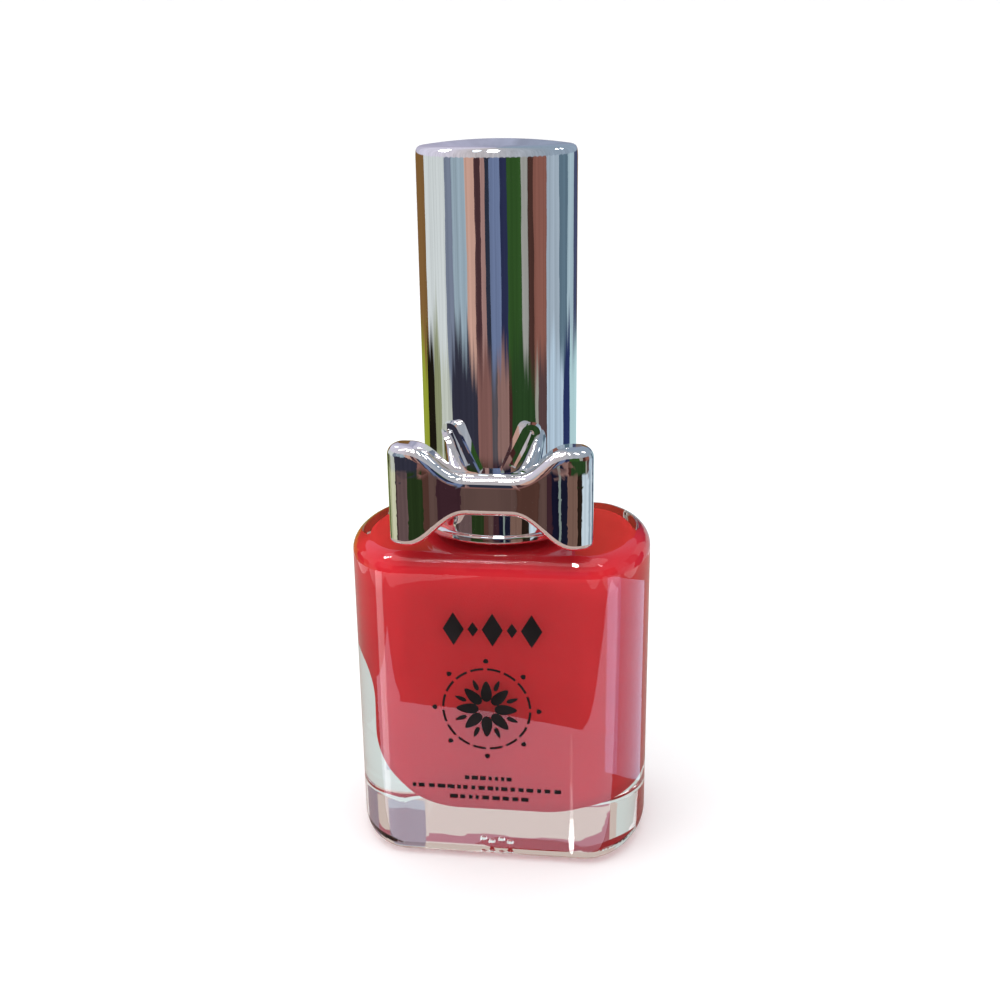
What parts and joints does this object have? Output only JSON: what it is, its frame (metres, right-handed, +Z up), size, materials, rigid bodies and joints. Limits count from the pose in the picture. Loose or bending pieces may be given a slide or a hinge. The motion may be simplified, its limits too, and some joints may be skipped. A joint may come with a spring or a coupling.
{
  "type": "nail polish bottle",
  "caption": "Flat-fronted glass nail polish bottle with thick clear base, red lacquer, chromed screw cap with a bow, and a brush that lifts out with the cap.",
  "frame": {"origin": "centre of the bottle's base, on the surface it stands on", "axes": "+Z up along the neck and cap, -Y towards the printed front that the bow faces, +X to the right of someone looking at that front from -Y"},
  "size_m": [0.035, 0.023, 0.0819],
  "materials": {
    "clear_glass": "clear pressed flint glass, fire polished",
    "red_lacquer": "opaque warm red cream lacquer, seen through the glass",
    "ball_steel": "polished stainless steel",
    "liner_foam": "white expanded polyethylene",
    "stem_plastic": "black moulded polypropylene",
    "nylon_bristle": "dark nylon filament",
    "anchor_metal": "plain brass plate",
    "screw_cap_plastic": "black moulded polypropylene",
    "chrome_plating": "mirror-bright chrome plating on moulded ABS",
    "bow_plating": "mirror-bright chrome plating on moulded ABS"
  },
  "bodies": {
    "bottle": {"glass_bottle": "clear_glass", "nail_lacquer": "red_lacquer", "mixing_ball_left": "ball_steel", "mixing_ball_right": "ball_steel"},
    "liner": {"seal_liner": "liner_foam"},
    "brush": {"brush_stem": "stem_plastic", "bristle_tuft": "nylon_bristle", "bristle_anchor": "anchor_metal"},
    "cap": {"inner_screw_cap": "screw_cap_plastic", "chrome_overcap": "chrome_plating", "bow_ornament": "bow_plating"}
  },
  "joints": [
    {"name": "cap_lift", "type": "slide", "parent": "bottle", "child": "liner", "axis": [0, 0, 1], "range_m": [0, 0.055]},
    {"name": "thread_rise", "type": "slide", "parent": "liner", "child": "brush", "axis": [0, 0, 1], "range_m": [0, 0.00318]},
    {"name": "cap_turn", "type": "hinge", "parent": "brush", "child": "cap", "pos_m": [0, 0, 0.045], "axis": [0, 0, 1], "range_deg": [0, 540]}
  ],
  "couplings": [
    {"joint": "thread_rise", "follows": "cap_turn", "m_per_rad": 0.00033688}
  ]
}
